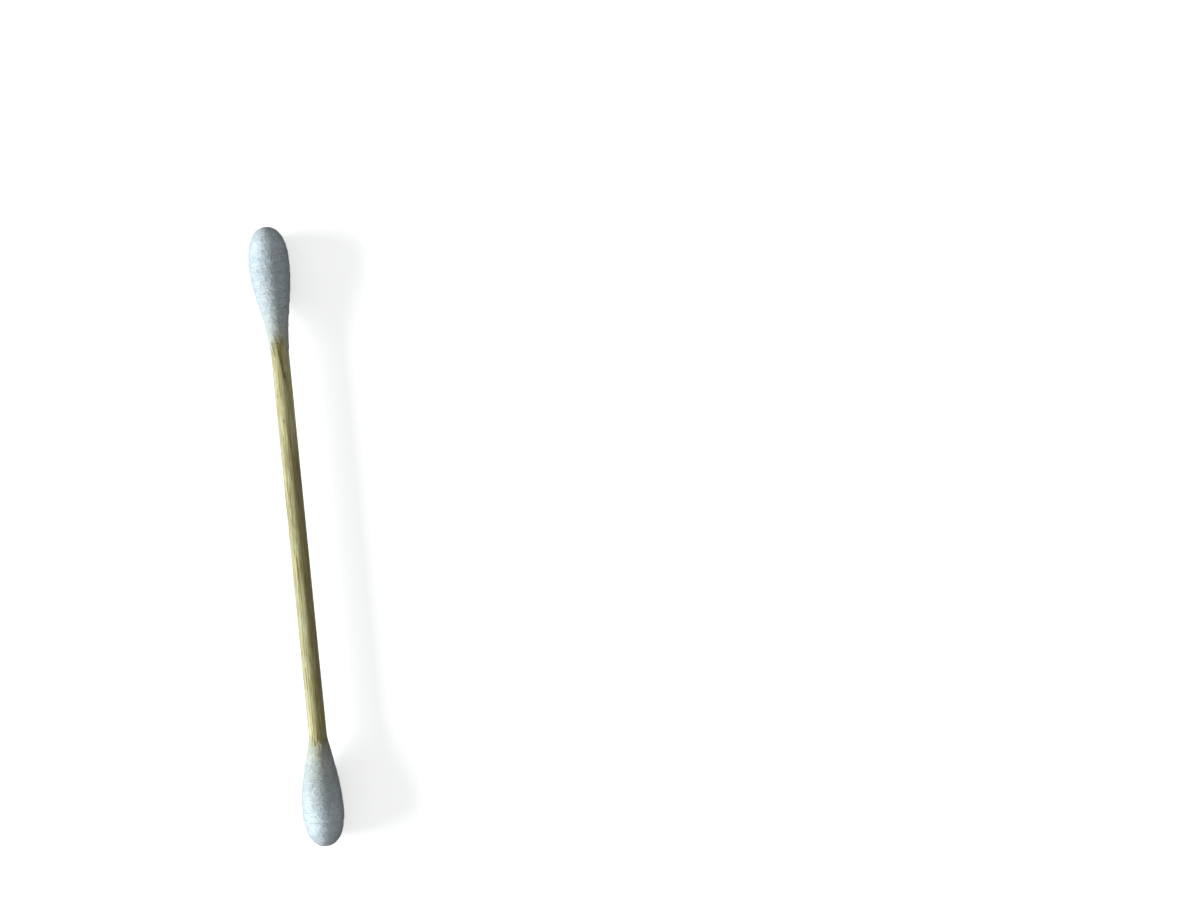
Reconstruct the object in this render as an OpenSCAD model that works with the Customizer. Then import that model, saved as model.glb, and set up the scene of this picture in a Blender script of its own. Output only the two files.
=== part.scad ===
// A double-ended cotton swab: a bamboo stick with a bud of wound cotton on each end.
// It lies along X on the small flat spots of its two buds, with Z up.
// The origin is under the middle of the swab, on the surface that it rests on.

/* [Swab] */
// Length of the whole swab, from tip to tip
swab_length = 75; // [70:0.5:80]
// How far the bellies of the buds sit to one side of the stick
belly_offset = 0.28; // [0:0.02:0.5]
// Depth of the flat spot that the smaller bud rests on
rest_flat = 0.1; // [0.06:0.01:0.2]

/* [Stick] */
// Diameter of the bamboo stick
stick_d = 2.2; // [1.8:0.05:2.6]
// Number of lengthwise flats that the knife left on the stick
flat_count = 3; // [1:1:4]
// Depth of each flat, below the round of the stick
flat_depth = 0.03; // [0.02:0.01:0.1]
// Turn of the first flat about the stick, from level
flat_turn = 72; // [0:1:90]
// Cotton between each end of the stick and the tip of its bud
end_cover = 1.6; // [1:0.1:2.5]
// Chamfer on each end of the stick
end_chamfer = 0.2; // [0.1:0.05:0.4]

/* [Far bud] */
// Length of the cotton
far_length = 15.5; // [12:0.1:17]
// Radius at the belly
far_belly_r = 2.45; // [2.2:0.01:2.7]
// Distance from the tip to the belly
far_belly_at = 4.7; // [4:0.1:6]
// Fall of the flank: over 1 is hollow, under 1 is full
far_flank = 1.2; // [0.8:0.05:1.4]
// Thickness of the last film of cotton at the neck
far_film = 0.09; // [0.03:0.01:0.15]

/* [Near bud] */
// Length of the cotton
near_length = 13.9; // [12:0.1:17]
// Radius at the belly
near_belly_r = 2.49; // [2.2:0.01:2.7]
// Distance from the tip to the belly
near_belly_at = 4.6; // [4:0.1:6]
// Fall of the flank: over 1 is hollow, under 1 is full
near_flank = 0.8; // [0.8:0.05:1.4]
// Thickness of the last film of cotton at the neck
near_film = 0.04; // [0.03:0.01:0.15]

/* [Winding] */
// Bluntness of the nose: 2 is an ellipse, and more is squarer
nose_power = 2.3; // [2:0.05:2.8]
// Advance of the cotton along the stick in one turn
turn_pitch = 1.4; // [1:0.1:2]
// Depth of the groove between two turns
turn_depth = 0.06; // [0:0.01:0.1]

/* [Hidden] */

$fn = 96;
bud_sides = 48;
bud_rings = 54;
// Power that crowds the rings towards the tip, where the nose turns fastest
ring_crowding = 1.6;
stick_r = stick_d / 2;
stick_length = swab_length - 2 * end_cover;
// The bellies lie on the plane Y = 0, and the stick to the right of it
stick_y = -belly_offset;
axis_height = min(far_belly_r, near_belly_r) - rest_flat;
bamboo = [0.80, 0.77, 0.60];
cotton = [0.92, 0.96, 0.98];

// Radius of a bud at s from its tip, before the grooves: a blunt nose up to the belly, which is a
// quarter of a squared ellipse, and then a flank that falls to the neck along a raised cosine
function bud_r(s, length, belly_r, belly_at, flank, film) =
    s < belly_at
    ? belly_r * pow(1 - pow(1 - s / belly_at, nose_power), 1 / nose_power)
    : stick_r + film + (belly_r - stick_r - film) * pow(fall(s, length, belly_at), flank);

// Raised cosine: 1 up to the belly, and down to 0 at the neck
function fall(s, length, belly_at) =
    (1 + cos(180 * max(s - belly_at, 0) / (length - belly_at))) / 2;

// Groove between two turns at s from the tip and turned by a: deepest halfway along, and gone at
// the tip, where the cotton is smoothed over, and at the neck
function groove(s, a, length) =
    turn_depth * sin(180 * s / length) * (1 - cos(360 * s / turn_pitch - a)) / 2;

// One point of the skin of a bud. The centre of the ring moves from the bellies' plane to the
// stick's line as the flank falls.
function bud_point(s, a, length, belly_r, belly_at, flank, film) =
    let (
        r = bud_r(s, length, belly_r, belly_at, flank, film) - groove(s, a, length),
        centre_y = stick_y * (1 - fall(s, length, belly_at))
    )
    [-s, centre_y + r * cos(a), r * sin(a)];

// Point k of ring i on the skin, where ring 0 is past the tip and k wraps round
function skin_index(i, k) = 1 + (i - 1) * bud_sides + k % bud_sides;

// Section of the stick: a round with shallow lengthwise flats
module stick_section() {
    difference() {
        circle(r = stick_r);
        for (k = [0 : flat_count - 1])
            rotate(flat_turn + k * 360 / flat_count)
                translate([stick_r - flat_depth, -stick_r])
                    square([stick_r, stick_d]);
    }
}

// The stick alone, with its ends chamfered
module stick_blank() {
    translate([0, stick_y, axis_height])
        rotate([0, 90, 0])
            intersection() {
                linear_extrude(stick_length, center = true) stick_section();
                union() {
                    cylinder(r = stick_d, h = stick_length - 2 * end_chamfer, center = true);
                    for (side = [0, 1])
                        mirror([0, 0, side])
                            translate([0, 0, stick_length / 2 - end_chamfer])
                                cylinder(r1 = stick_r, r2 = stick_r - end_chamfer, h = end_chamfer);
                }
            }
}

// Skin of one wound bud, with its tip at X = 0 and its neck towards -X
module bud_skin(length, belly_r, belly_at, flank, film) {
    rings = [for (i = [1 : bud_rings]) length * pow(i / bud_rings, ring_crowding)];
    tip = [0, 0, 0];
    neck_centre = [-length, stick_y, 0];
    skin = [
        for (s = rings, k = [0 : bud_sides - 1])
            bud_point(s, 360 * k / bud_sides, length, belly_r, belly_at, flank, film)
    ];
    last = 1 + bud_rings * bud_sides;
    nose_faces = [for (k = [0 : bud_sides - 1]) [0, skin_index(1, k), skin_index(1, k + 1)]];
    side_faces = [
        for (i = [1 : bud_rings - 1], k = [0 : bud_sides - 1], half = [0, 1])
            half == 0
            ? [skin_index(i, k), skin_index(i + 1, k), skin_index(i + 1, k + 1)]
            : [skin_index(i, k), skin_index(i + 1, k + 1), skin_index(i, k + 1)]
    ];
    neck_faces = [
        for (k = [0 : bud_sides - 1])
            [last, skin_index(bud_rings, k + 1), skin_index(bud_rings, k)]
    ];
    polyhedron(concat([tip], skin, [neck_centre]), concat(nose_faces, side_faces, neck_faces));
}

// One bud in place at the +X end: its skin, with the socket of the stick and the rest spot cut out
module wound_bud(length, belly_r, belly_at, flank, film) {
    difference() {
        translate([swab_length / 2, 0, axis_height])
            bud_skin(length, belly_r, belly_at, flank, film);
        stick_blank();
        translate([0, -swab_length / 2, -swab_length])
            cube(swab_length);
    }
}

module bamboo_stick() {
    color(bamboo) stick_blank();
}

module cotton_bud_far() {
    color(cotton) wound_bud(far_length, far_belly_r, far_belly_at, far_flank, far_film);
}

module cotton_bud_near() {
    color(cotton)
        mirror([1, 0, 0])
            wound_bud(near_length, near_belly_r, near_belly_at, near_flank, near_film);
}

bamboo_stick();
cotton_bud_far();
cotton_bud_near();
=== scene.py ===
"""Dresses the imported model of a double-ended cotton swab and sets it on a pale studio floor.

The swab is a split bamboo stick with a bud of wound cotton on each end. Sizes are in millimetres and
turn to metres where a mesh is made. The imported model's frame holds: X runs along the stick, Z is up
and the swab rests on Z = 0. A place round the stick is given in turns from the +Y side, towards +Z.
"""

from __future__ import annotations

import logging
import math
from dataclasses import dataclass, field
from enum import Enum
from typing import Any

import bpy
import numpy as np
from mathutils import Matrix, Vector

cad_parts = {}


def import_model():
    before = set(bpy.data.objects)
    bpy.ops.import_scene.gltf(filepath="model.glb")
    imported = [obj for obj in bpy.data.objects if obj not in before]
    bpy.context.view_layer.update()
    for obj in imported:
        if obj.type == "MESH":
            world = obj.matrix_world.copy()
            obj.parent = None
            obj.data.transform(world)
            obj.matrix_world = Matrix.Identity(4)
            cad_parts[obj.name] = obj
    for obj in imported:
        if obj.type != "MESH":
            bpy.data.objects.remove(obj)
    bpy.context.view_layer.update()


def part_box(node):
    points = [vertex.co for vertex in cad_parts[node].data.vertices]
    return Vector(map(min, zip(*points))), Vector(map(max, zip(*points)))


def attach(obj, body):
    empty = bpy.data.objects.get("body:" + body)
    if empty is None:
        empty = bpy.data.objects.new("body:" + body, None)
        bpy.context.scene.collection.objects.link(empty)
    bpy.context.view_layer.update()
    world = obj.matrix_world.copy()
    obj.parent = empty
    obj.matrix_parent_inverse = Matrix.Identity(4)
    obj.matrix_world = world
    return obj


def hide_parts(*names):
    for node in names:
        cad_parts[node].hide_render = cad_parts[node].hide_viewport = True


LOG = logging.getLogger("cotton_swab")
Array = np.ndarray
MM = 0.001
TURN = 2.0 * math.pi
BODY = "root"
# Rows of a lattice of random values, and its columns where it needn't close on itself
LATTICE = 512

# Sizes that the part's source gives the solids, in millimetres
STICK_R = 1.1
STICK_Y = -0.28
AXIS_Z = 2.35
END_COVER = 1.6
NOSE_POWER = 2.3
TURN_PITCH = 1.4
TURN_DEPTH = 0.06


class End(Enum):
    """The end of the stick that a bud sits on. Its value is the sign of X there."""

    FAR = 1
    NEAR = -1


def linear(code: str) -> tuple[float, float, float, float]:
    """Turns an sRGB hex colour into the linear colour that a shader takes.

    Args:
        code: Six hex digits, such as "e6f3f8".

    Returns:
        Red, green, blue and an alpha of 1.
    """
    parts = (int(code[i : i + 2], 16) / 255 for i in (0, 2, 4))
    r, g, b = (c / 12.92 if c <= 0.04045 else ((c + 0.055) / 1.055) ** 2.4 for c in parts)
    return r, g, b, 1.0


def smooth(t: Array) -> Array:
    """Smoothstep: 3 t squared less 2 t cubed, with t held between 0 and 1."""
    t = np.clip(t, 0.0, 1.0)
    return t * t * (3.0 - 2.0 * t)


def fade(x: Array, start: float, end: float) -> Array:
    """Smoothstep of x that is 0 at start and 1 at end, where start may be the larger of the two."""
    return smooth((x - start) / (end - start))


def lattice_noise(u: Array, v: Array, seed: int, columns: int = LATTICE, rise: int = 0) -> Array:
    """Smooth noise from a lattice of random values, blended by smoothstep between the nearest four.

    The lattice has its rows along u and its columns along v. The column past the last is the first,
    moved on by rise rows, so that noise round an axis closes on itself, along a helix too.

    Args:
        u: Row coordinate.
        v: Column coordinate, which closes after the last column.
        seed: Seed of the lattice.
        columns: Number of columns.
        rise: Rows that u falls by where v goes from its last column to its first.

    Returns:
        Values between -1 and 1.
    """
    lattice = np.random.default_rng(seed).uniform(-1.0, 1.0, (LATTICE, columns))
    v = np.mod(v, columns)
    i, j = np.floor(u).astype(int), np.minimum(np.floor(v).astype(int), columns - 1)
    across_u, across_v = smooth(u - i), smooth(v - j)
    wraps = j + 1 == columns
    k, on = np.where(wraps, 0, j + 1), i + np.where(wraps, rise, 0)
    here = lattice[i % LATTICE, j] * (1 - across_u) + lattice[(i + 1) % LATTICE, j] * across_u
    there = lattice[on % LATTICE, k] * (1 - across_u) + lattice[(on + 1) % LATTICE, k] * across_u
    return here * (1 - across_v) + there * across_v


@dataclass(frozen=True)
class Unevenness:
    """One layer of soft random unevenness on a piece, as lattice noise.

    Attributes:
        height: How far it swings to each side, in millimetres, or as a share.
        cell: Length of the noise's cells along the piece, in millimetres. It may be infinite.
        seed_step: What is added to the seed of the piece.
        around: Number of cells round the axis.
        climb: Cells that it moves on by in one turn, where it follows the winding.
    """

    height: float
    cell: float
    seed_step: int
    around: int = LATTICE
    climb: int = 0

    def round_axis(self, along: Array, turn: Array, seed: int) -> Array:
        """Gives the layer round an axis: noise at row along / cell - climb turn, column around turn.

        Args:
            along: Places along the piece in millimetres.
            turn: Turns round the axis.
            seed: Seed of the piece.

        Returns:
            Heights in the shape of turn.
        """
        row = along / self.cell - turn * self.climb
        noise = lattice_noise(row, turn * self.around, seed + self.seed_step, self.around, self.climb)
        return self.height * noise

    def on_flat(self, x: Array, y: Array, seed: int) -> Array:
        """Gives the layer at places on a flat, in millimetres, with square cells."""
        return self.height * lattice_noise(x / self.cell, y / self.cell, seed + self.seed_step)


def tube_faces(rings: int, sides: int) -> Array:
    """Quads of a tube whose points run ring after ring, as rows of four indices.

    Quad k of band i joins points k and k + 1 of ring i with the same points of ring i + 1, and the
    last point of a ring joins the first.

    Args:
        rings: Number of rings.
        sides: Points in a ring.

    Returns:
        An array of (rings - 1) * sides rows.
    """
    ring = np.arange(rings - 1)[:, None] * sides
    k = np.arange(sides)[None, :]
    k_next = (k + 1) % sides
    quads = np.stack([ring + k, ring + k_next, ring + sides + k_next, ring + sides + k], axis=-1)
    return quads.reshape(-1, 4)


def fan_faces(centre: int, first: int, sides: int) -> Array:
    """Triangles that join a pole to the ring that starts at point first, as rows of three indices."""
    k = np.arange(sides)
    return np.stack([np.full(sides, centre), first + (k + 1) % sides, first + k], axis=-1)


def make_piece(name: str, points: Array, *faces: Array, **values: Array) -> bpy.types.Object:
    """Makes a smooth-shaded object at the origin, with its place in its mesh.

    Args:
        name: Name of the object and its mesh.
        points: Points in millimetres, one row each.
        faces: Arrays of point indices, each with the same number of corners in all its rows.
        values: Float attributes, one value for each point.

    Returns:
        The object, linked to the scene.
    """
    mesh = bpy.data.meshes.new(name)
    corners = np.concatenate([f.ravel() for f in faces]).astype(np.int32)
    sizes = np.concatenate([np.full(len(f), f.shape[1]) for f in faces])
    starts = np.concatenate([[0], np.cumsum(sizes)[:-1]]).astype(np.int32)
    mesh.vertices.add(len(points))
    mesh.vertices.foreach_set("co", (points * MM).astype(np.float32).ravel())
    mesh.loops.add(len(corners))
    mesh.loops.foreach_set("vertex_index", corners)
    mesh.polygons.add(len(starts))
    mesh.polygons.foreach_set("loop_start", starts)
    mesh.update(calc_edges=True)
    mesh.shade_smooth()
    for key, value in values.items():
        attribute = mesh.attributes.new(key, "FLOAT", "POINT")
        attribute.data.foreach_set("value", value.astype(np.float32).ravel())
    piece = bpy.data.objects.new(name, mesh)
    bpy.context.scene.collection.objects.link(piece)
    return piece


def add_node(tree: bpy.types.NodeTree, kind: str, settings: dict[str, Any] | None = None,
             **inputs: Any) -> bpy.types.Node:
    """Adds a node with its settings and links.

    Args:
        tree: Node tree that gets the node.
        kind: Type name of the node.
        settings: Properties of the node.
        inputs: Input sockets by name, with _ for a space, or as i0, i1 for a socket by number. A
            socket as the value is linked, and anything else is set.

    Returns:
        The node.
    """
    node = tree.nodes.new(kind)
    for key, value in (settings or {}).items():
        setattr(node, key, value)
    for key, value in inputs.items():
        number = key[1:]
        socket = node.inputs[int(number)] if number.isdigit() else node.inputs[key.replace("_", " ")]
        if isinstance(value, bpy.types.NodeSocket):
            tree.links.new(value, socket)
        else:
            socket.default_value = value
    return node


def new_material(name: str) -> tuple[bpy.types.Material, bpy.types.NodeTree]:
    """Makes a material with an empty node tree.

    Args:
        name: Name of the material.

    Returns:
        The material and its node tree.
    """
    material = bpy.data.materials.new(name)
    material.use_nodes = True
    material.node_tree.nodes.clear()
    return material, material.node_tree


@dataclass(frozen=True)
class GrainTint:
    """A colour that shows on the bamboo in streaks along its grain, where a noise brings it out.

    Attributes:
        code: sRGB hex colour.
        across_mm: Size of the noise's grain across the stick.
        along_mm: Size of its grain along the stick.
        none_at: Value of the noise at which the colour doesn't show.
        most_at: Value at which it shows most.
        most: Share of it there.
    """

    code: str
    across_mm: float
    along_mm: float
    none_at: float
    most_at: float
    most: float = 1.0


@dataclass(frozen=True)
class SplitBamboo:
    """Bare bamboo split lengthwise and drawn round: straw coloured, smooth and dull, with fine grain.

    The drawing knife polishes it a little, so the lit side has a pale dull shine. The vessels show as
    thin brown dashes along the grain, with pale strands of fibre between them, and their bundles as
    longer patches of a browner tone. Vessels and strands are drawn twice as wide as most real ones, so
    that they show from the camera's distance. An attribute brings in the longer brown lines and stains,
    and two broad bands of painted shade: a browner shaded side, and a darker strip along the lit edge.
    """

    straw: str = "a3975f"
    pale: GrainTint = GrainTint("c5c094", 0.14, 9.0, none_at=0.36, most_at=0.64)
    bundle: GrainTint = GrainTint("735d2f", 0.40, 3.5, none_at=0.48, most_at=0.68, most=0.24)
    strand: GrainTint = GrainTint("dcd9b2", 0.14, 3.2, none_at=0.45, most_at=0.36, most=0.8)
    vessel: GrainTint = GrainTint("735d2f", 0.14, 3.2, none_at=0.55, most_at=0.66, most=0.9)
    # Colour of the stains, and of the painted shade bands.
    stain: str = "6b5e2b"
    groove_across_mm: float = 0.07
    groove_along_mm: float = 9.0
    groove_depth_mm: float = 0.035
    roughness: float = 0.5

    def noise(self, tree: bpy.types.NodeTree, across_mm: float, along_mm: float) -> bpy.types.Node:
        """Adds a noise that is drawn out along the stick.

        Args:
            tree: Node tree of the material.
            across_mm: Size of its grain across the stick in millimetres.
            along_mm: Size of its grain along the stick.

        Returns:
            The noise node.
        """
        place = add_node(tree, "ShaderNodeTexCoord").outputs["Object"]
        along, across = 1 / (along_mm * MM), 1 / (across_mm * MM)
        laid = add_node(tree, "ShaderNodeMapping", Vector=place, Scale=(along, across, across))
        return add_node(tree, "ShaderNodeTexNoise", Vector=laid.outputs[0], Scale=1.0, Detail=3.0,
                        Roughness=0.6)

    def colour(self, tree: bpy.types.NodeTree) -> bpy.types.NodeSocket:
        """Adds the nodes of the bamboo's colour: straw, then each tint over it, then the stains and painted
        shade.

        Args:
            tree: Node tree of the material.

        Returns:
            The socket that gives the colour.
        """
        wood: Any = linear(self.straw)
        for tint in (self.pale, self.bundle, self.strand, self.vessel):
            grain = self.noise(tree, tint.across_mm, tint.along_mm)
            share = add_node(tree, "ShaderNodeMapRange", Value=grain.outputs["Fac"],
                             From_Min=tint.none_at, From_Max=tint.most_at, To_Max=tint.most)
            tinted = add_node(tree, "ShaderNodeMix", {"data_type": "RGBA"}, i0=share.outputs[0], i6=wood,
                              i7=linear(tint.code))
            wood = tinted.outputs[2]
        # Stains, and painted shade in two broad bands, by the attribute.
        stain = add_node(tree, "ShaderNodeAttribute", {"attribute_name": "stain"})
        stained = add_node(tree, "ShaderNodeMix", {"data_type": "RGBA"}, i0=stain.outputs["Fac"],
                           i6=wood, i7=linear(self.stain))
        return stained.outputs[2]

    def material(self) -> bpy.types.Material:
        """Builds the bamboo, with its colour and its fine grooves as bump.

        Returns:
            The material.
        """
        material, tree = new_material("split_bamboo")
        grooves = self.noise(tree, self.groove_across_mm, self.groove_along_mm)
        bump = add_node(tree, "ShaderNodeBump", Height=grooves.outputs["Fac"], Strength=1.0,
                        Distance=self.groove_depth_mm * MM)
        shader = add_node(tree, "ShaderNodeBsdfPrincipled", Base_Color=self.colour(tree),
                          Roughness=self.roughness, IOR=1.5, Specular_IOR_Level=0.2,
                          Sheen_Weight=0.15, Sheen_Roughness=0.5, Normal=bump.outputs[0])
        add_node(tree, "ShaderNodeOutputMaterial", Surface=shader.outputs[0])
        return material


@dataclass(frozen=True)
class WoundCotton:
    """Bleached cotton fibre wound on a stick and pressed: white, matt and slightly fluffy.

    The fibres lie round the bud in small tufts, which gives fine short streaks across it. Light enters
    the fluff a little, so shade is soft. The white is mixed towards a darker colour near the outline,
    as the surface turns from the camera: painted shade at the rim. It is mixed towards a lighter white
    from the nose back along the bud: painted light. Where the noise that also sets the bump is low, a
    darker colour shows: painted shade in its hollows, with random mottle. Where it thins to a film at
    the neck, the bamboo shows through, and less so where the film is seen at a slant.

    Attributes:
        under: Finish of the bamboo under the cotton.
        title: Name of the material.
        body: Colour of the fibres.
        hollow: Colour of the small hollows between them, a painted shade.
        pressed: Colour of the painted light, a lighter white from the nose back.
        rim_shade: Colour of the painted shade towards the outline.
        light_in: Share of the light that enters.
        scatter_mm: Distance that it goes.
        fibre_mm: Width of a streak.
        fibre_length_mm: Length of a streak round the bud.
        fluff_mm: Size of the tufts.
        mottle_mm: Size of the larger mottles.
        hollow_shade_at: Sum of the noises at which the hollows' painted shade shows.
        body_at: Sum at which the fibres' colour shows.
        pressed_least: Share of the painted light in the hollows, where it is painted.
        rim_shade_from: Where the rim's painted shade begins, from 0 face on to 1 at a grazing slant.
        rim_shade_full: Where it is full.
        slant_hides: What comes off the film's power at a grazing slant, where it hides more.
        bump_mm: Depth of the bump.
    """

    under: SplitBamboo
    title: str = "wound_cotton"
    body: str = "dce5eb"
    hollow: str = "cad4db"
    pressed: str = "eff9fd"
    rim_shade: str = "bac2c7"
    light_in: float = 0.3
    scatter_mm: float = 0.4
    fibre_mm: float = 0.11
    fibre_length_mm: float = 0.9
    fluff_mm: float = 0.32
    mottle_mm: float = 0.6
    hollow_shade_at: float = 0.75
    body_at: float = 1.15
    pressed_least: float = 0.5
    rim_shade_from: float = 0.1
    rim_shade_full: float = 0.75
    slant_hides: float = 0.85
    bump_mm: float = 0.13

    def material(self) -> bpy.types.Material:
        """Builds the cotton: its whites, the painted light from its nose, the painted shade at its rim, and
        the bamboo under its film.

        The noise that sets the white is half the sum of streaks and tufts, plus the mottles. The share
        of cotton is the film attribute to the power 1 - slant_hides facing.

        Returns:
            The material.
        """
        material, tree = new_material(self.title)
        place = add_node(tree, "ShaderNodeTexCoord").outputs["Object"]
        across, along = 1 / (self.fibre_mm * MM), 1 / (self.fibre_length_mm * MM)
        laid = add_node(tree, "ShaderNodeMapping", Vector=place, Scale=(across, along, along))
        fibres = add_node(tree, "ShaderNodeTexNoise", Vector=laid.outputs[0], Scale=1.0, Detail=3.0,
                          Roughness=0.6, Distortion=0.6)
        fluff = add_node(tree, "ShaderNodeTexNoise", Vector=place, Scale=1 / (self.fluff_mm * MM),
                         Detail=2.0)
        woolly = add_node(tree, "ShaderNodeMath", {"operation": "ADD"}, i0=fibres.outputs["Fac"],
                          i1=fluff.outputs["Fac"])
        mottle = add_node(tree, "ShaderNodeTexNoise", Vector=place, Scale=1 / (self.mottle_mm * MM),
                          Detail=3.0)
        mixed = add_node(tree, "ShaderNodeMath", {"operation": "MULTIPLY_ADD"}, i0=woolly.outputs[0],
                         i1=0.5, i2=mottle.outputs["Fac"])
        # Painted shade in the hollows: where the noise that also sets the bump is low, the darker colour
        # shows.
        share = add_node(tree, "ShaderNodeMapRange", Value=mixed.outputs[0], From_Min=self.hollow_shade_at,
                         From_Max=self.body_at)
        white = add_node(tree, "ShaderNodeMix", {"data_type": "RGBA"}, i0=share.outputs[0],
                         i6=linear(self.hollow), i7=linear(self.body))
        # Painted light: a lighter white from the nose back, by the attribute.
        pressed = add_node(tree, "ShaderNodeAttribute", {"attribute_name": "pressed"})
        uneven = add_node(tree, "ShaderNodeMath", {"operation": "MULTIPLY_ADD"}, i0=share.outputs[0],
                          i1=1.0 - self.pressed_least, i2=self.pressed_least)
        flat = add_node(tree, "ShaderNodeMath", {"operation": "MULTIPLY"}, i0=uneven.outputs[0],
                        i1=pressed.outputs["Fac"])
        white = add_node(tree, "ShaderNodeMix", {"data_type": "RGBA"}, i0=flat.outputs[0],
                         i6=white.outputs[2], i7=linear(self.pressed))
        # Painted shade at the rim: the white darkens as the surface turns from the camera.
        facing = add_node(tree, "ShaderNodeLayerWeight", Blend=0.5).outputs["Facing"]
        edge = add_node(tree, "ShaderNodeMapRange", {"interpolation_type": "SMOOTHSTEP"}, Value=facing,
                        From_Min=self.rim_shade_from, From_Max=self.rim_shade_full)
        white = add_node(tree, "ShaderNodeMix", {"data_type": "RGBA"}, i0=edge.outputs[0],
                         i6=white.outputs[2], i7=linear(self.rim_shade))
        film = add_node(tree, "ShaderNodeAttribute", {"attribute_name": "film"})
        slant = add_node(tree, "ShaderNodeMath", {"operation": "MULTIPLY_ADD"}, i0=facing,
                         i1=-self.slant_hides, i2=1.0)
        hides = add_node(tree, "ShaderNodeMath", {"operation": "POWER"}, i0=film.outputs["Fac"],
                         i1=slant.outputs[0])
        colour = add_node(tree, "ShaderNodeMix", {"data_type": "RGBA"}, i0=hides.outputs[0],
                          i6=self.under.colour(tree), i7=white.outputs[2])
        height = add_node(tree, "ShaderNodeMath", {"operation": "MULTIPLY"}, i0=woolly.outputs[0],
                          i1=film.outputs["Fac"])
        bump = add_node(tree, "ShaderNodeBump", Height=height.outputs[0], Strength=1.0,
                        Distance=self.bump_mm * MM)
        shader = add_node(tree, "ShaderNodeBsdfPrincipled", Base_Color=colour.outputs[2], Roughness=0.95,
                          IOR=1.5, Specular_IOR_Level=0.1, Sheen_Weight=0.1, Sheen_Roughness=0.5,
                          Subsurface_Weight=self.light_in, Subsurface_Radius=(1.0, 0.95, 0.95),
                          Subsurface_Scale=self.scatter_mm * MM, Normal=bump.outputs[0])
        add_node(tree, "ShaderNodeOutputMaterial", Surface=shader.outputs[0])
        return material


def straight_view(tree: bpy.types.NodeTree) -> bpy.types.NodeSocket:
    """Adds nodes that tell what the camera sees itself, in a gloss or through glass.

    Args:
        tree: Node tree of a material or the world.

    Returns:
        A socket that gives 1 for what is seen and 0 for what only lights something.
    """
    path = add_node(tree, "ShaderNodeLightPath")
    seen = add_node(tree, "ShaderNodeMath", {"operation": "MAXIMUM"},
                    i0=path.outputs["Is Camera Ray"], i1=path.outputs["Is Glossy Ray"])
    seen = add_node(tree, "ShaderNodeMath", {"operation": "MAXIMUM"},
                    i0=seen.outputs[0], i1=path.outputs["Is Transmission Ray"])
    return seen.outputs[0]


@dataclass(frozen=True)
class StudioPaper:
    """Matt white background paper. The camera sees it white, and it throws little light back up."""

    seen: str = "ffffff"
    bounced: str = "8c8c8c"
    glow: float = 0.57

    def material(self) -> bpy.types.Material:
        """Builds the paper, which glows by a set strength only where it is seen.

        Returns:
            The material.
        """
        material, tree = new_material("studio_paper")
        seen = straight_view(tree)
        colour = add_node(tree, "ShaderNodeMix", {"data_type": "RGBA"}, i0=seen,
                          i6=linear(self.bounced), i7=linear(self.seen))
        matt = add_node(tree, "ShaderNodeBsdfDiffuse", Color=colour.outputs[2])
        power = add_node(tree, "ShaderNodeMath", {"operation": "MULTIPLY"}, i0=seen, i1=self.glow)
        glow = add_node(tree, "ShaderNodeEmission", Strength=power.outputs[0])
        both = add_node(tree, "ShaderNodeAddShader", i0=matt.outputs[0], i1=glow.outputs[0])
        add_node(tree, "ShaderNodeOutputMaterial", Surface=both.outputs[0])
        return material


@dataclass(frozen=True)
class GrainLine:
    """A brown line along the bamboo's grain, a pit in it, or a broad band of painted shade, between two
    places on the stick.

    Sizes are in millimetres.

    Attributes:
        start_x: X where the line starts.
        start_turn: Turns round the stick where it starts.
        end_x: X where it ends.
        end_turn: Turns where it ends.
        width: Distance from its middle at which it is a third as strong.
        strength: Its strength, where 1 is the full stain.
        depth: How deep it is sunk into the stick.
        end_width: Share of the width that is left at its end.
        fade_share: Share of its length that it fades over at each end.
    """

    start_x: float
    start_turn: float
    end_x: float
    end_turn: float
    width: float
    strength: float
    depth: float = 0.0
    end_width: float = 0.5
    fade_share: float = 0.1

    def at(self, x: Array, turn: Array) -> Array:
        """Strength of the line at places on the stick.

        It is a bell across the line, which thins towards its end, times a window that fades at both
        ends. The bell is the exponential of -(distance / width)^2.

        Args:
            x: Places along the stick.
            turn: Turns round the axis.

        Returns:
            Strengths in the shape of x.
        """
        along = (x - self.start_x) / (self.end_x - self.start_x)
        middle = self.start_turn + (self.end_turn - self.start_turn) * along
        across = (np.mod(turn - middle + 0.5, 1.0) - 0.5) * TURN * STICK_R
        width = self.width * np.clip(1.0 - (1.0 - self.end_width) * along, self.end_width, 1.0)
        window = fade(along, 0.0, self.fade_share) * fade(along, 1.0, 1.0 - self.fade_share)
        return self.strength * np.exp(-((across / width) ** 2)) * window


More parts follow.
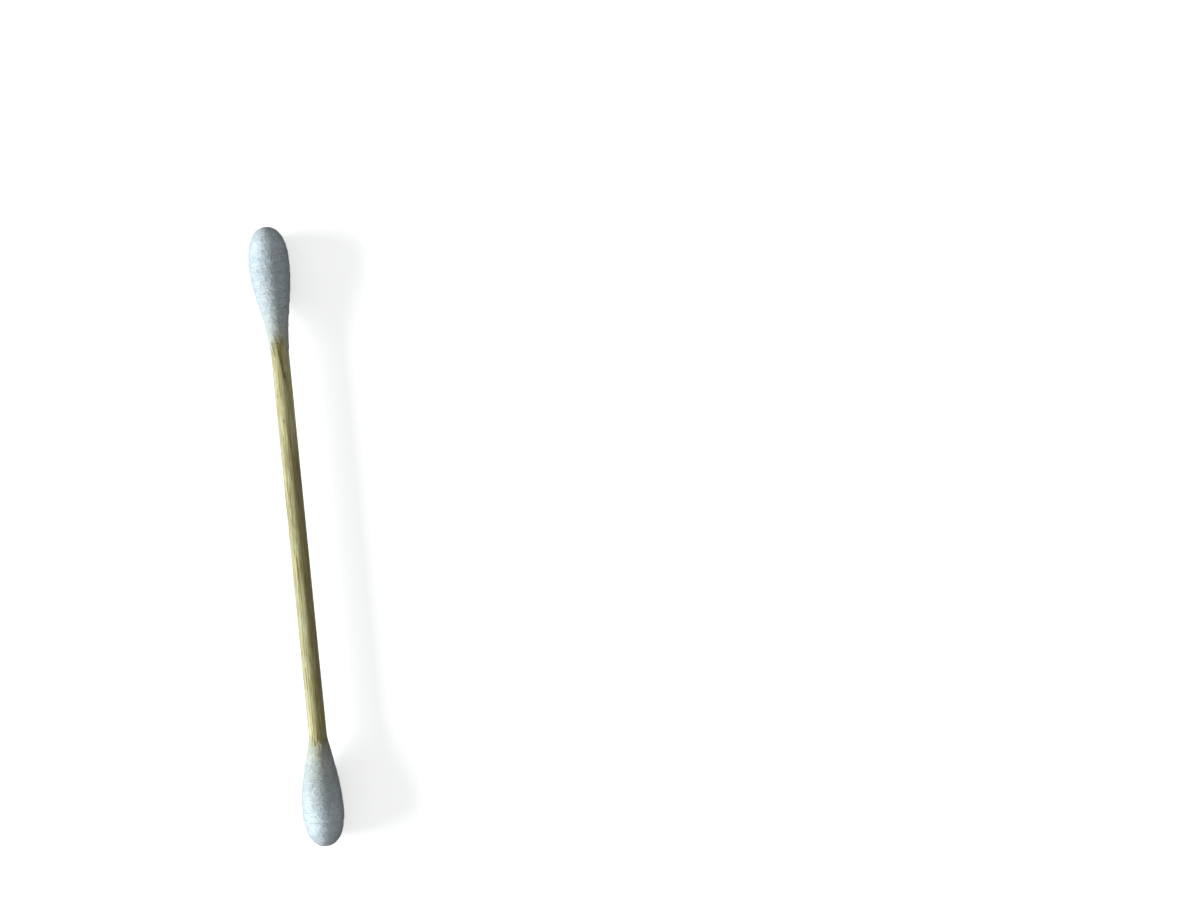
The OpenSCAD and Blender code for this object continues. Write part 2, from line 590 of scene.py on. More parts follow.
@dataclass
class BambooStick:
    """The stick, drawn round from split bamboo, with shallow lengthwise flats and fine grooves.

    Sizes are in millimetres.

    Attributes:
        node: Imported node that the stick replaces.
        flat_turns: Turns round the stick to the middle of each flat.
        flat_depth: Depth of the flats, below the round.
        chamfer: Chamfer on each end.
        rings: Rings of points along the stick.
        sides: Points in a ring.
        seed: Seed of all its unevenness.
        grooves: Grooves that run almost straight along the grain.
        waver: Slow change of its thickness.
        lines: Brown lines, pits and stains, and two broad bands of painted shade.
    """

    node: str = "bamboo_stick"
    flat_turns: tuple[float, ...] = (0.158, 0.212, 0.533, 0.72, 0.9)
    flat_depth: float = 0.012
    chamfer: float = 0.2
    rings: int = 720
    sides: int = 120
    seed: int = 71
    grooves: tuple[Unevenness, ...] = (
        Unevenness(0.007, cell=12.0, seed_step=0, around=19),
        Unevenness(0.004, cell=3.0, seed_step=1, around=41),
    )
    waver: Unevenness = Unevenness(0.010, cell=11.0, seed_step=2, around=3)
    lines: tuple[GrainLine, ...] = (
        GrainLine(25.8, 0.186, 18.6, 0.312, 0.24, 1.0, 0.02),
        GrainLine(27.2, 0.230, 20.4, 0.290, 0.36, 0.5),
        GrainLine(23.8, 0.130, 21.6, 0.160, 0.14, 1.0),
        GrainLine(20.0, 0.330, 17.4, 0.332, 0.14, 0.5),
        GrainLine(17.2, 0.133, 16.7, 0.133, 0.09, 1.0, 0.03),
        GrainLine(14.2, 0.220, 13.7, 0.220, 0.09, 1.0, 0.03),
        GrainLine(12.6, 0.172, 6.4, 0.168, 0.07, 0.7),
        GrainLine(17.5, 0.215, 2.0, 0.208, 0.06, 0.3),
        GrainLine(6.8, 0.150, 3.2, 0.158, 0.08, 0.85, 0.012),
        GrainLine(5.6, 0.186, 0.8, 0.190, 0.08, 0.9, 0.015),
        GrainLine(2.6, 0.160, -3.4, 0.182, 0.08, 0.65, 0.010),
        GrainLine(-2.2, 0.200, -8.4, 0.212, 0.08, 0.85, 0.012),
        GrainLine(-8.8, 0.176, -15.4, 0.172, 0.07, 0.85, 0.012),
        GrainLine(-15.6, 0.146, -20.2, 0.161, 0.08, 0.9, 0.015),
        GrainLine(-20.0, 0.152, -21.4, 0.156, 0.07, 0.8, 0.02),
        GrainLine(4.0, 0.300, -19.0, 0.306, 0.05, 0.35),
        GrainLine(19.0, 0.620, -7.0, 0.628, 0.07, 0.5),
        GrainLine(2.0, 0.850, -20.0, 0.842, 0.06, 0.5),
        # Painted shade: a broad browner band on the shaded side, then a faint darker strip along the lit
        # edge.
        GrainLine(14.0, 0.460, -42.0, 0.450, 1.40, 0.75),
        GrainLine(60.0, 0.000, -60.0, 0.000, 0.90, 0.30),
    )

    def stain(self, x: Array, turn: Array) -> Array:
        """Strength of all the brown lines and bands of painted shade together, at most 1."""
        return np.clip(sum(line.at(x, turn) for line in self.lines), 0.0, 1.0)

    def radius(self, x: Array, turn: Array) -> Array:
        """Radius of the stick.

        It is the round, cut by each flat's plane at (R - depth) / cos(angle to the flat), less the
        sunk lines and the grooves, and with the waver.

        Args:
            x: Place along the stick in millimetres.
            turn: Turns round the axis.

        Returns:
            Radii in millimetres.
        """
        # A flat ends well before 60 degrees from its middle, so the cosine is held from there on
        least = math.cos(TURN / 6.0)
        r = np.full(np.broadcast(x, turn).shape, STICK_R)
        for flat in self.flat_turns:
            facing = np.maximum(np.cos(TURN * (turn - flat)), least)
            r = np.minimum(r, (STICK_R - self.flat_depth) / facing)
        r = r - sum(line.depth * line.at(x, turn) for line in self.lines if line.depth > 0.0)
        for groove in self.grooves:
            r = r + groove.round_axis(x, turn, self.seed) - groove.height
        return r + self.waver.round_axis(x, turn, self.seed)

    def build(self, bamboo: bpy.types.Material) -> list[bpy.types.Object]:
        """Builds and dresses the stick.

        Args:
            bamboo: The bamboo's material.

        Returns:
            The stick.
        """
        low, high = (np.array(corner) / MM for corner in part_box(self.node))
        half = float(high[0] - low[0]) / 2.0
        x = np.linspace(-half, half, self.rings)
        turn = np.arange(self.sides) / self.sides
        xs, turns = np.meshgrid(x, turn, indexing="ij")
        r = self.radius(xs, turns) - np.maximum(self.chamfer - (half - np.abs(xs)), 0.0)
        wall = np.stack([xs, STICK_Y + r * np.cos(TURN * turns), AXIS_Z + r * np.sin(TURN * turns)], -1)
        ends = np.array([[-half, STICK_Y, AXIS_Z], [half, STICK_Y, AXIS_Z]])
        points = np.concatenate([wall.reshape(-1, 3), ends])
        walls = tube_faces(self.rings, self.sides)[:, ::-1]
        start = fan_faces(len(points) - 2, 0, self.sides)
        finish = fan_faces(len(points) - 1, (self.rings - 1) * self.sides, self.sides)[:, ::-1]
        stain = np.concatenate([self.stain(xs, turns).ravel(), np.zeros(len(ends))])
        piece = make_piece("split_bamboo_stick", points, walls, start, finish, stain=stain)
        piece.data.materials.append(bamboo)
        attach(piece, BODY)
        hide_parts(self.node)
        return [piece]


@dataclass(frozen=True)
class LooseFibres:
    """Sizes of a bud's loose fibres, in millimetres. A pair gives the least and the most.

    Attributes:
        wound: Number of fibres that lie round the bud.
        core_r: Radius from which the cotton's thickness counts towards how many lie there.
        least_thick: Least thickness that counts.
        last_share: Share of the cotton, counted from the tip, that they lie on.
        tip_clear: How near the tip a fibre's middle may lie.
        end_clear: How near the tip its ends may lie.
        reach: Length of a fibre round the bud.
        wave: Typical height of its waves.
        waves: Number of its waves.
        lean: Typical distance along the bud between its two ends.
        over_cap: Number of fibres that lie over the nose.
        cap_reach: Distance from the tip that their middles lie within.
        cap_length: Length of one of them.
        cap_turned: Typical angle that one is turned by from straight round the tip, in radians.
        cap_bow: Typical bow of one.
        height_shape: Shape of the gamma distribution of the heights off the skin.
        height_scale: Scale of it.
        arch_power: Power of the sine arch that a fibre follows. Under 1 it is fuller.
        root: Depth of its ends under the skin.
        probe: Extra height off the skin that shows which way is outwards.
        half_width: Half its width.
        flatness: Its thickness as a share of its width.
        taper_cut: Share of the half sine of its taper that is cut off at each end.
        steps: Points along it.
        sides: Points in its section.
        shading_lean: How far its shading normals lean from outwards to its sides.
        clear_power: Power of the cotton's whiteness for its own whiteness. Under 1 it is whiter.
        seed_step: What is added to the seed of the bud.
    """

    wound: int = 3600
    core_r: float = 0.95
    least_thick: float = 0.05
    last_share: float = 0.995
    tip_clear: float = 1.2
    end_clear: float = 0.3
    reach: tuple[float, float] = (1.0, 3.6)
    wave: float = 0.07
    waves: tuple[float, float] = (0.5, 1.5)
    lean: float = 0.35
    over_cap: int = 500
    cap_reach: float = 3.0
    cap_length: tuple[float, float] = (0.8, 2.4)
    cap_turned: float = 0.5
    cap_bow: float = 0.12
    height_shape: float = 1.2
    height_scale: float = 0.022
    arch_power: float = 0.8
    root: float = 0.006
    probe: float = 0.05
    half_width: tuple[float, float] = (0.007, 0.013)
    flatness: float = 0.7
    taper_cut: float = 0.06
    steps: int = 8
    sides: int = 3
    shading_lean: float = 0.35
    clear_power: float = 0.5
    seed_step: int = 8


@dataclass
class CottonBud:
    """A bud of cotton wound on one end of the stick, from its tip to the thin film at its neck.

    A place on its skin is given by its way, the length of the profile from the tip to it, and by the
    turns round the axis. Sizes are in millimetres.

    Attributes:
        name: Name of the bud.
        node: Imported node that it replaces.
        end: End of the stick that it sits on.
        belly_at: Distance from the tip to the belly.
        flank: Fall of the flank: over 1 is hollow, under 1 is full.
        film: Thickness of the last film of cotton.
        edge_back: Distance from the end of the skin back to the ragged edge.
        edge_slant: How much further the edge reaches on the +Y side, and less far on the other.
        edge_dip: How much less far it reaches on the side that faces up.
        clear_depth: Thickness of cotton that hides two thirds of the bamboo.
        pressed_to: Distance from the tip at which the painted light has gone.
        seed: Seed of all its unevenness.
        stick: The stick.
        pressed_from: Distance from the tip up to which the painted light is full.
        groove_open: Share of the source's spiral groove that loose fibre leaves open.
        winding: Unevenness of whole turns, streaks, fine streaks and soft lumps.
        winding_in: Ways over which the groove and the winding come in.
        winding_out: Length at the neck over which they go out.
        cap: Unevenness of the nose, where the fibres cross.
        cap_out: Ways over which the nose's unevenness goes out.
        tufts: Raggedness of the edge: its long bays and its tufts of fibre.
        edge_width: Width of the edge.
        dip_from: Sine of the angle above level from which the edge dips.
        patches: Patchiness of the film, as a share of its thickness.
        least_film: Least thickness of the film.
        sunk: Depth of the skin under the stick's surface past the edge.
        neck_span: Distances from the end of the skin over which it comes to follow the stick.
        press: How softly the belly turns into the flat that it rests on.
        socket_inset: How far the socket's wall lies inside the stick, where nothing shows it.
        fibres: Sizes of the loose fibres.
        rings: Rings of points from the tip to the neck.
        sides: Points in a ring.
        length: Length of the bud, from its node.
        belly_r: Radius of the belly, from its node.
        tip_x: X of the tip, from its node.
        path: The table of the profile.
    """

    name: str
    node: str
    end: End
    belly_at: float
    flank: float
    film: float
    edge_back: float
    edge_slant: float
    edge_dip: float
    clear_depth: float
    pressed_to: float
    seed: int
    stick: BambooStick
    pressed_from: float = 1.6
    groove_open: float = 0.4
    winding: tuple[Unevenness, ...] = (
        Unevenness(0.008, cell=TURN_PITCH / 2, seed_step=0, around=5, climb=2),
        Unevenness(0.013, cell=TURN_PITCH / 6, seed_step=1, around=29, climb=6),
        Unevenness(0.010, cell=TURN_PITCH / 10, seed_step=2, around=61, climb=10),
        Unevenness(0.012, cell=2.4, seed_step=3, around=4),
    )
    winding_in: tuple[float, float] = (0.3, 2.3)
    winding_out: float = 2.0
    cap: tuple[Unevenness, ...] = (
        Unevenness(0.015, cell=0.9, seed_step=4),
        Unevenness(0.010, cell=0.3, seed_step=5),
    )
    cap_out: tuple[float, float] = (1.0, 3.5)
    tufts: tuple[Unevenness, ...] = (
        Unevenness(0.26, cell=math.inf, seed_step=6, around=13),
        Unevenness(0.30, cell=0.5, seed_step=9, around=53),
    )
    edge_width: float = 1.9
    dip_from: float = 0.5
    patches: Unevenness = Unevenness(0.3, cell=0.45, seed_step=7, around=17)
    least_film: float = 0.01
    sunk: float = 0.015
    neck_span: tuple[float, float] = (3.0, 1.5)
    press: float = 0.03
    socket_inset: float = 0.12
    fibres: LooseFibres = LooseFibres()
    rings: int = 380
    sides: int = 240
    length: float = field(init=False)
    belly_r: float = field(init=False)
    tip_x: float = field(init=False)
    path: Array = field(init=False)

    def __post_init__(self) -> None:
        """Takes the tip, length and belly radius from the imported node, and tables the profile."""
        low, high = (np.array(corner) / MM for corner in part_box(self.node))
        self.length = float(high[0] - low[0])
        self.belly_r = float(max(high[1], -low[1]))
        self.tip_x = float(high[0] if self.end is End.FAR else low[0])
        self.path = self.profile_table()

    def fall(self, s: Array) -> Array:
        """Raised cosine: 1 up to the belly, and down to 0 at the neck."""
        t = np.clip((s - self.belly_at) / (self.length - self.belly_at), 0.0, 1.0)
        return (1.0 + np.cos(np.pi * t)) / 2.0

    def profile_table(self) -> Array:
        """Tables the profile by its length from the tip.

        The nose is a quarter of a squared ellipse: s = belly_at (1 - cos(t)^(2/p)) and
        r = belly_r sin(t)^(2/p), for t from 0 to a right angle. The flank is the raised cosine to the
        power flank, between the belly's radius and the film's. The outward normal is the tangent
        turned by a right angle.

        Returns:
            Five rows: length along the profile, s from the tip, radius, and the normal's s and r.
        """
        samples = 3000
        t = np.linspace(0.0, np.pi / 2.0, samples)
        power = 2.0 / NOSE_POWER
        nose_s = self.belly_at * (1.0 - np.cos(t) ** power)
        nose_r = self.belly_r * np.sin(t) ** power
        flank_s = np.linspace(self.belly_at, self.length, samples)[1:]
        neck_r = STICK_R + self.film
        flank_r = neck_r + (self.belly_r - neck_r) * self.fall(flank_s) ** self.flank
        s, r = np.concatenate([nose_s, flank_s]), np.concatenate([nose_r, flank_r])
        ds, dr = np.gradient(s), np.gradient(r)
        step = np.hypot(ds, dr)
        way = np.concatenate([[0.0], np.cumsum(np.hypot(np.diff(s), np.diff(r)))])
        return np.stack([way, s, r, -dr / step, ds / step])

    @property
    def way_end(self) -> float:
        """Length of the profile from the tip to the neck."""
        return float(self.path[0, -1])

    def stick_x(self, s: Array | float) -> Array | float:
        """X on the stick at a distance s from the tip."""
        return self.tip_x - self.end.value * s

    def relief(self, way: Array, turn: Array) -> Array:
        """Height of the skin over the smooth profile, in millimetres.

        Round the bud it is the spiral groove between turns of the winding, as far as loose fibre leaves
        it open, with the unevenness of the winding. On the nose, where the fibres cross, it is an even
        noise over the flattened cap.

        Args:
            way: Length along the profile from the tip.
            turn: Turns round the axis.

        Returns:
            Heights in the shape of way.
        """
        s = np.interp(way, self.path[0], self.path[1])
        depth = self.groove_open * TURN_DEPTH * np.sin(np.pi * np.clip(s / self.length, 0.0, 1.0))
        wound = depth * np.cos(TURN * (s / TURN_PITCH - turn)) / 2.0
        wound = wound + sum(layer.round_axis(way, turn, self.seed) for layer in self.winding)
        wound = wound * fade(way, *self.winding_in)
        wound = wound * fade(way, self.way_end, self.way_end - self.winding_out)
        px, py = way * np.cos(TURN * turn), way * np.sin(TURN * turn)
        cap = sum(layer.on_flat(px, py, self.seed) for layer in self.cap)
        return wound + cap * (1.0 - fade(way, *self.cap_out))

    def cover(self, way: Array, turn: Array) -> Array:
        """Share of cotton on the stick: 1 on the bud, and down to 0 past the ragged edge at the neck.

        The edge lies back from the end of the skin. It slants, dips on the side that faces up, and has
        small tufts of fibre that run past it.

        Args:
            way: Length along the profile from the tip.
            turn: Turns round the axis.

        Returns:
            Shares in the shape of way.
        """
        slant = self.edge_slant * np.cos(TURN * turn)
        dip = self.edge_dip * fade(np.sin(TURN * turn), self.dip_from, 1.0)
        tufts = sum(layer.round_axis(way, turn, self.seed) for layer in self.tufts)
        edge = self.way_end - self.edge_back + slant - dip + tufts
        return smooth((edge - way) / self.edge_width + 0.5)

    def radius(self, way: Array, turn: Array) -> Array:
        """Radius of the skin: the profile and its relief, and near the neck the film on the stick.

        The film follows the stick's own surface. Past the ragged edge, where there is no cover, it
        dips just under that surface.

        Args:
            way: Length along the profile from the tip.
            turn: Turns round the axis.

        Returns:
            Radii in millimetres.
        """
        s, r, out_r = (np.interp(way, self.path[0], self.path[row]) for row in (1, 2, 4))
        full = r + self.relief(way, turn) * out_r
        cover = self.cover(way, turn)
        under = self.stick.radius(self.stick_x(s), turn)
        held = under + np.maximum(full - STICK_R, self.least_film) * cover - self.sunk * (1.0 - cover)
        begins, follows = (self.length - distance for distance in self.neck_span)
        at_neck = fade(s, begins, follows)
        return full * (1.0 - at_neck) + held * at_neck

    def skin(self, way: Array, turn: Array, lift: Array | float = 0.0) -> Array:
        """Points of the skin, or above it.

        The relief and the lift go out along the profile's normal. The ring's centre moves from the
        bellies' plane to the stick as the flank falls. The belly is pressed flat where it rests: Z is
        half of z + sqrt(z^2 + press^2).

        Args:
            way: Length along the profile from the tip.
            turn: Turns round the axis.
            lift: Height above the skin in millimetres.

        Returns:
            Points with X, Y and Z in the last axis.
        """
        s, out_s, out_r = (np.interp(way, self.path[0], self.path[row]) for row in (1, 3, 4))
        r = self.radius(way, turn) + lift * out_r
        s = s + (self.relief(way, turn) + lift) * out_s
        y = STICK_Y * (1.0 - self.fall(s)) + r * np.cos(TURN * turn)
        z = AXIS_Z + r * np.sin(TURN * turn)
        return np.stack([self.stick_x(s), y, (z + np.sqrt(z * z + self.press**2)) / 2.0], axis=-1)

    def whiteness(self, way: Array, turn: Array) -> Array:
        """Share of white that the cotton hides the bamboo with.

        It is 1 less the cotton's thickness over a clear depth, as a falling exponential, where the
        thickness is patchy in the thin film. The nose has bamboo nowhere near it, so it is white.

        Args:
            way: Length along the profile from the tip.
            turn: Turns round the axis.

        Returns:
            Shares in the shape of way.
        """
        patchy = 1.0 + self.patches.round_axis(way, turn, self.seed)
        s = np.interp(way, self.path[0], self.path[1])
        under = self.stick.radius(self.stick_x(s), turn)
        thick = np.maximum(self.radius(way, turn) - under, 0.0) * patchy
        return np.where(s < self.belly_at, 1.0, 1.0 - np.exp(-thick / self.clear_depth))

    def pressed(self, way: Array) -> Array:
        """Share of painted light, a lighter white: 1 up to pressed_from, and down to 0 at pressed_to."""
        s = np.interp(way, self.path[0], self.path[1])
        return fade(s, self.pressed_to, self.pressed_from)

    def build_skin(self) -> bpy.types.Object:
        """Builds the bud as a closed cup: its skin, its rim at the neck and the stick's socket.

        Returns:
            The bud, without its material.
        """
        way = np.linspace(0.0, self.way_end, self.rings + 1)[1:]
        turn = np.arange(self.sides) / self.sides
        ways, turns = np.meshgrid(way, turn, indexing="ij")
        skin = self.skin(ways, turns)
        tip = self.skin(np.zeros(1), np.zeros(1))
        socket_r = STICK_R - self.socket_inset
        y, z = STICK_Y + socket_r * np.cos(TURN * turn), AXIS_Z + socket_r * np.sin(TURN * turn)
        socket = [
            np.stack([np.full(self.sides, self.stick_x(s)), y, z], axis=-1)
            for s in (self.length, self.length / 2.0, END_COVER)
        ]
        bottom = np.array([[self.stick_x(END_COVER), STICK_Y, AXIS_Z]])
        points = np.concatenate([tip, skin.reshape(-1, 3), *socket, bottom])
        rings = self.rings + len(socket)
        faces = [
            tube_faces(rings, self.sides) + 1,
            fan_faces(0, 1, self.sides),
            fan_faces(len(points) - 1, 1 + (rings - 1) * self.sides, self.sides)[:, ::-1],
        ]
        if self.end is End.NEAR:
            faces = [face[:, ::-1] for face in faces]
        on_skin = slice(1, 1 + ways.size)
        film, stain, pressed = np.ones(len(points)), np.zeros(len(points)), np.zeros(len(points))
        film[on_skin] = self.whiteness(ways, turns).ravel()
        # The stick's stains and painted shade go on under the film.
        stain[on_skin] = self.stick.stain(skin[..., 0], turns).ravel()
        # Painted light from the nose back, full at the tip.
        pressed[on_skin] = self.pressed(ways).ravel()
        pressed[0] = 1.0
        return make_piece(self.name, points, *faces, film=film, stain=stain, pressed=pressed)

    def lay_round(self, rng: np.random.Generator, t: Array) -> tuple[Array, Array]:
        """Lays fibres round the bud, each for part of a turn, with a little lean and wave.

        There are as many along the bud as the cotton is thick there, so they thin out at the neck.

        Args:
            rng: Source of the random sizes.
            t: Places along a fibre, from 0 to 1, in one row.

        Returns:
            Ways and turns, with one row for each fibre.
        """
        loose = self.fibres
        column = (loose.wound, 1)
        thick = np.maximum(self.path[2] - loose.core_r, loose.least_thick)
        share = np.cumsum(np.gradient(self.path[0]) * thick)
        way = np.interp(rng.uniform(0.0, loose.last_share, column), share / share[-1], self.path[0])
        way = np.maximum(way, loose.tip_clear)
        reach = rng.uniform(*loose.reach, column) / (TURN * np.interp(way, self.path[0], self.path[2]))
        turn = rng.uniform(0.0, 1.0, column)
        wave = rng.normal(0.0, loose.wave, column)
        wave = wave * np.sin(TURN * (t * rng.uniform(*loose.waves, column) + turn))
        lean = rng.normal(0.0, loose.lean, column)
        way = np.clip(way + lean * (t - 0.5) + wave, loose.end_clear, self.way_end)
        return way, turn + reach * (t - 0.5)

    def lay_over_cap(self, rng: np.random.Generator, t: Array) -> tuple[Array, Array]:
        """Lays fibres over the nose, mostly round it, as curved lines on the flattened cap.

        A line goes from its middle by length times t - 0.5 along its direction, and aside by its bow
        times 4 t (1 - t). The distance from the pole is the way, and the angle about it is the turn.

        Args:
            rng: Source of the random sizes.
            t: Places along a fibre, from 0 to 1, in one row.

        Returns:
            Ways and turns, with one row for each fibre.
        """
        loose = self.fibres
        column = (loose.over_cap, 1)
        far = loose.cap_reach * np.sqrt(rng.uniform(0.0, 1.0, column))
        about = rng.uniform(0.0, TURN, column)
        heading = about + TURN / 4.0 + rng.normal(0.0, loose.cap_turned, column)
        length = rng.uniform(*loose.cap_length, column)
        bow = rng.normal(0.0, loose.cap_bow, column) * 4.0 * t * (1.0 - t)
        px = far * np.cos(about) + length * (t - 0.5) * np.cos(heading) - bow * np.sin(heading)
        py = far * np.sin(about) + length * (t - 0.5) * np.sin(heading) + bow * np.cos(heading)
        return np.hypot(px, py), np.unwrap(np.arctan2(py, px), axis=1) / TURN

    def build_fibres(self) -> bpy.types.Object:
        """Builds the fibres that lie on the skin and stand a little off it, as three-sided threads.

        A fibre leaves the skin on a sine arch and goes back into it. Its section is flat, with one
        corner outwards, and no point is under the floor. Its shading normals lean mostly outwards,
        because light passes through a fibre as thin as this.

        Returns:
            All the fibres of the bud as one piece, without its material.
        """
        loose = self.fibres
        rng = np.random.default_rng(self.seed + loose.seed_step)
        steps, sides = loose.steps, loose.sides
        t = np.linspace(0.0, 1.0, steps)[None, :]
        laid = [self.lay_round(rng, t), self.lay_over_cap(rng, t)]
        way, turn = (np.concatenate([pair[k] for pair in laid]) for k in (0, 1))
        count = len(way)
        height = rng.gamma(loose.height_shape, loose.height_scale, (count, 1))
        lift = height * np.sin(np.pi * t) ** loose.arch_power - loose.root
        line = self.skin(way, turn, lift)
        out = self.skin(way, turn, lift + loose.probe) - line
        out /= np.linalg.norm(out, axis=-1, keepdims=True)
        side = np.cross(out, np.gradient(line, axis=1))
        side /= np.linalg.norm(side, axis=-1, keepdims=True)
        width = rng.uniform(*loose.half_width, (count, 1, 1, 1))
        tapering = loose.taper_cut + (1.0 - 2.0 * loose.taper_cut) * t
        taper = np.sqrt(np.sin(np.pi * tapering))[..., None, None]
        corner = (TURN * (np.arange(sides) / sides + 0.25))[None, None, :, None]
        section = np.cos(corner) * side[:, :, None] + loose.flatness * np.sin(corner) * out[:, :, None]
        tube = line[:, :, None] + width * taper * section
        tube[..., 2] = np.maximum(tube[..., 2], 0.0)
        base = (np.arange(count) * steps * sides)[:, None, None]
        walls = (tube_faces(steps, sides)[None] + base).reshape(-1, 4)
        first = (np.arange(sides)[None, ::-1] + base).reshape(-1, sides)
        last = (np.arange(sides)[None] + (steps - 1) * sides + base).reshape(-1, sides)
        film = np.repeat(self.whiteness(way, turn) ** loose.clear_power, sides, axis=1)
        # The fibres carry the painted light too.
        pressed = np.repeat(self.pressed(way), sides, axis=1)
        piece = make_piece(self.name + "_fibres", tube.reshape(-1, 3), walls, first, last, film=film,
                           stain=np.zeros(film.shape), pressed=pressed)
        leaning = (out[:, :, None] + loose.shading_lean * section).reshape(-1, 3)
        leaning /= np.linalg.norm(leaning, axis=-1, keepdims=True)
        piece.data.normals_split_custom_set_from_vertices(leaning)
        return piece

    def build(self, cotton: bpy.types.Material, loose: bpy.types.Material) -> list[bpy.types.Object]:
        """Builds and dresses the bud.

        Args:
            cotton: The wound cotton's material.
            loose: The loose fibres' material.

        Returns:
            The bud and its fibres.
        """
        skin, fibres = self.build_skin(), self.build_fibres()
        for piece, material in ((skin, cotton), (fibres, loose)):
            piece.data.materials.append(material)
            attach(piece, BODY)
        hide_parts(self.node)
        return [skin, fibres]


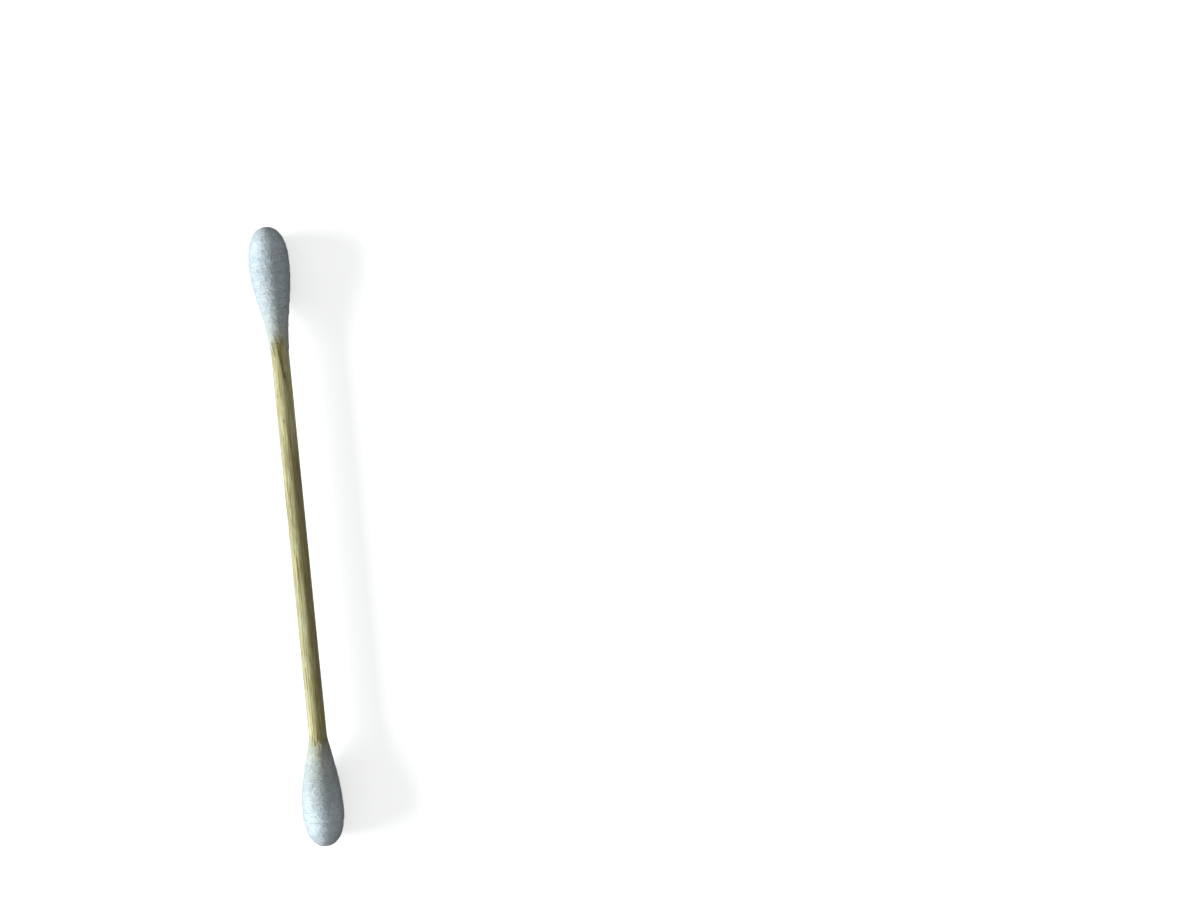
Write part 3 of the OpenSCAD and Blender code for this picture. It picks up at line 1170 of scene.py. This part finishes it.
@dataclass
class Studio:
    """Floor, lamp, sky and camera. Pixel places are in the photograph's frame of 1200 by 900.

    Sizes are in millimetres.

    Attributes:
        frame_px: Width and height of the photograph.
        middle_px: Place of the swab's middle in it.
        px_per_mm: Scale of the photograph.
        tilt_deg: Turn of the swab from the picture's upright.
        camera_height: Height of the camera above the stick.
        sensor: Width of its sensor.
        clip: Nearest and farthest distance that it sees.
        key_place: The lamp's place to the picture's right, to its top and up, from the swab's middle.
        key_size: Its width and height.
        key_watts: Its power.
        key_colour: Its sRGB hex colour.
        sky_strength: Strength of the sky as a light.
        sky_colour: Its sRGB hex colour.
        floor_side: Side of the square of paper.
    """

    frame_px: tuple[float, float] = (1200.0, 900.0)
    middle_px: tuple[float, float] = (295.9, 536.5)
    px_per_mm: float = 8.29
    tilt_deg: float = 5.66
    camera_height: float = 400.0
    sensor: float = 36.0
    clip: tuple[float, float] = (10.0, 10000.0)
    key_place: tuple[float, float, float] = (-400.0, -45.0, 125.0)
    key_size: tuple[float, float] = (320.0, 130.0)
    key_watts: float = 2.95
    key_colour: str = "f3fdff"
    sky_strength: float = 0.35
    sky_colour: str = "f8f9fa"
    floor_side: float = 3000.0

    def axes(self) -> tuple[Vector, Vector, Vector]:
        """Gives the directions that the picture's right and top edges face, and the one up.

        Returns:
            Three unit vectors.
        """
        tilt = math.radians(self.tilt_deg)
        right = Vector((-math.sin(tilt), -math.cos(tilt), 0.0))
        top = Vector((math.cos(tilt), -math.sin(tilt), 0.0))
        return right, top, Vector((0.0, 0.0, 1.0))

    def build_camera(self) -> None:
        """Sets the camera straight above the middle of the picture's frame, looking down."""
        right, top, up = self.axes()
        off_x = (self.frame_px[0] / 2.0 - self.middle_px[0]) / self.px_per_mm
        off_y = (self.middle_px[1] - self.frame_px[1] / 2.0) / self.px_per_mm
        place = right * off_x + top * off_y + up * (AXIS_Z + self.camera_height)
        width = self.frame_px[0] / self.px_per_mm
        data = bpy.data.cameras.new("camera")
        data.sensor_width = self.sensor
        data.lens = self.sensor * self.camera_height / width
        data.clip_start, data.clip_end = (distance * MM for distance in self.clip)
        camera = bpy.data.objects.new("camera", data)
        turned = Matrix((right, top, up)).transposed()
        camera.matrix_world = Matrix.Translation(place * MM) @ turned.to_4x4()
        bpy.context.scene.collection.objects.link(camera)
        bpy.context.scene.camera = camera

    def build_key(self) -> None:
        """Sets a large soft box low on the picture's left, which faces the swab."""
        data = bpy.data.lights.new("key", "AREA")
        data.shape = "RECTANGLE"
        data.size, data.size_y = (side * MM for side in self.key_size)
        data.energy = self.key_watts
        data.color = linear(self.key_colour)[:3]
        lamp = bpy.data.objects.new("key", data)
        right, top, up = (axis * off for axis, off in zip(self.axes(), self.key_place))
        lamp.location = (right + top + up) * MM
        lamp.rotation_euler = lamp.location.to_track_quat("Z", "Y").to_euler()
        bpy.context.scene.collection.objects.link(lamp)

    def build_sky(self) -> None:
        """Sets an even, weak sky, which the camera sees as white."""
        world = bpy.data.worlds.new("world")
        world.use_nodes = True
        tree = world.node_tree
        tree.nodes.clear()
        strength = add_node(tree, "ShaderNodeMapRange", Value=straight_view(tree),
                            To_Min=self.sky_strength, To_Max=1.0)
        sky = add_node(tree, "ShaderNodeBackground", Color=linear(self.sky_colour),
                       Strength=strength.outputs[0])
        add_node(tree, "ShaderNodeOutputWorld", Surface=sky.outputs[0])
        bpy.context.scene.world = world

    def build_floor(self) -> None:
        """Lays the paper under the swab."""
        half = self.floor_side / 2.0
        corners = np.array([[-half, -half, 0.0], [half, -half, 0.0], [half, half, 0.0], [-half, half, 0.0]])
        floor = make_piece("floor", corners, np.array([[0, 1, 2, 3]]))
        floor.data.materials.append(StudioPaper().material())

    def build(self) -> None:
        """Builds the whole studio and sets the plain view transform."""
        self.build_camera()
        self.build_key()
        self.build_sky()
        self.build_floor()
        bpy.context.scene.view_settings.view_transform = "Standard"


def swab_buds(stick: BambooStick) -> list[CottonBud]:
    """Gives the two buds, with the shapes that the part's source gives them.

    Args:
        stick: The stick that they sit on.

    Returns:
        The far bud and the near one.
    """
    return [
        CottonBud("wound_bud_far", "cotton_bud_far", End.FAR, belly_at=4.7, flank=1.2, film=0.09,
                  edge_back=0.6, edge_slant=0.1, edge_dip=1.1, clear_depth=0.40,
                  pressed_to=4.2, seed=11, stick=stick),
        CottonBud("wound_bud_near", "cotton_bud_near", End.NEAR, belly_at=4.6, flank=0.8, film=0.04,
                  edge_back=1.1, edge_slant=0.2, edge_dip=0.4, clear_depth=0.85,
                  pressed_to=8.5, seed=41, stick=stick),
    ]


def main() -> None:
    """Loads the frame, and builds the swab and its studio."""
    logging.basicConfig(level=logging.INFO, format="%(name)s: %(message)s")
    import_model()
    Studio().build()
    bare = SplitBamboo()
    bamboo, cotton = bare.material(), WoundCotton(under=bare).material()
    # The loose fibres get a lighter painted shade at their rim.
    loose = WoundCotton(bare, "loose_cotton_fibre", rim_shade="ccd5da", light_in=0.0, bump_mm=0.06).material()
    stick = BambooStick()
    pieces = stick.build(bamboo)
    for bud in swab_buds(stick):
        pieces += bud.build(cotton, loose)
    for piece in pieces:
        piece.data.calc_loop_triangles()
        LOG.info("%s: %d triangles", piece.name, len(piece.data.loop_triangles))


if __name__ == "__main__":
    main()
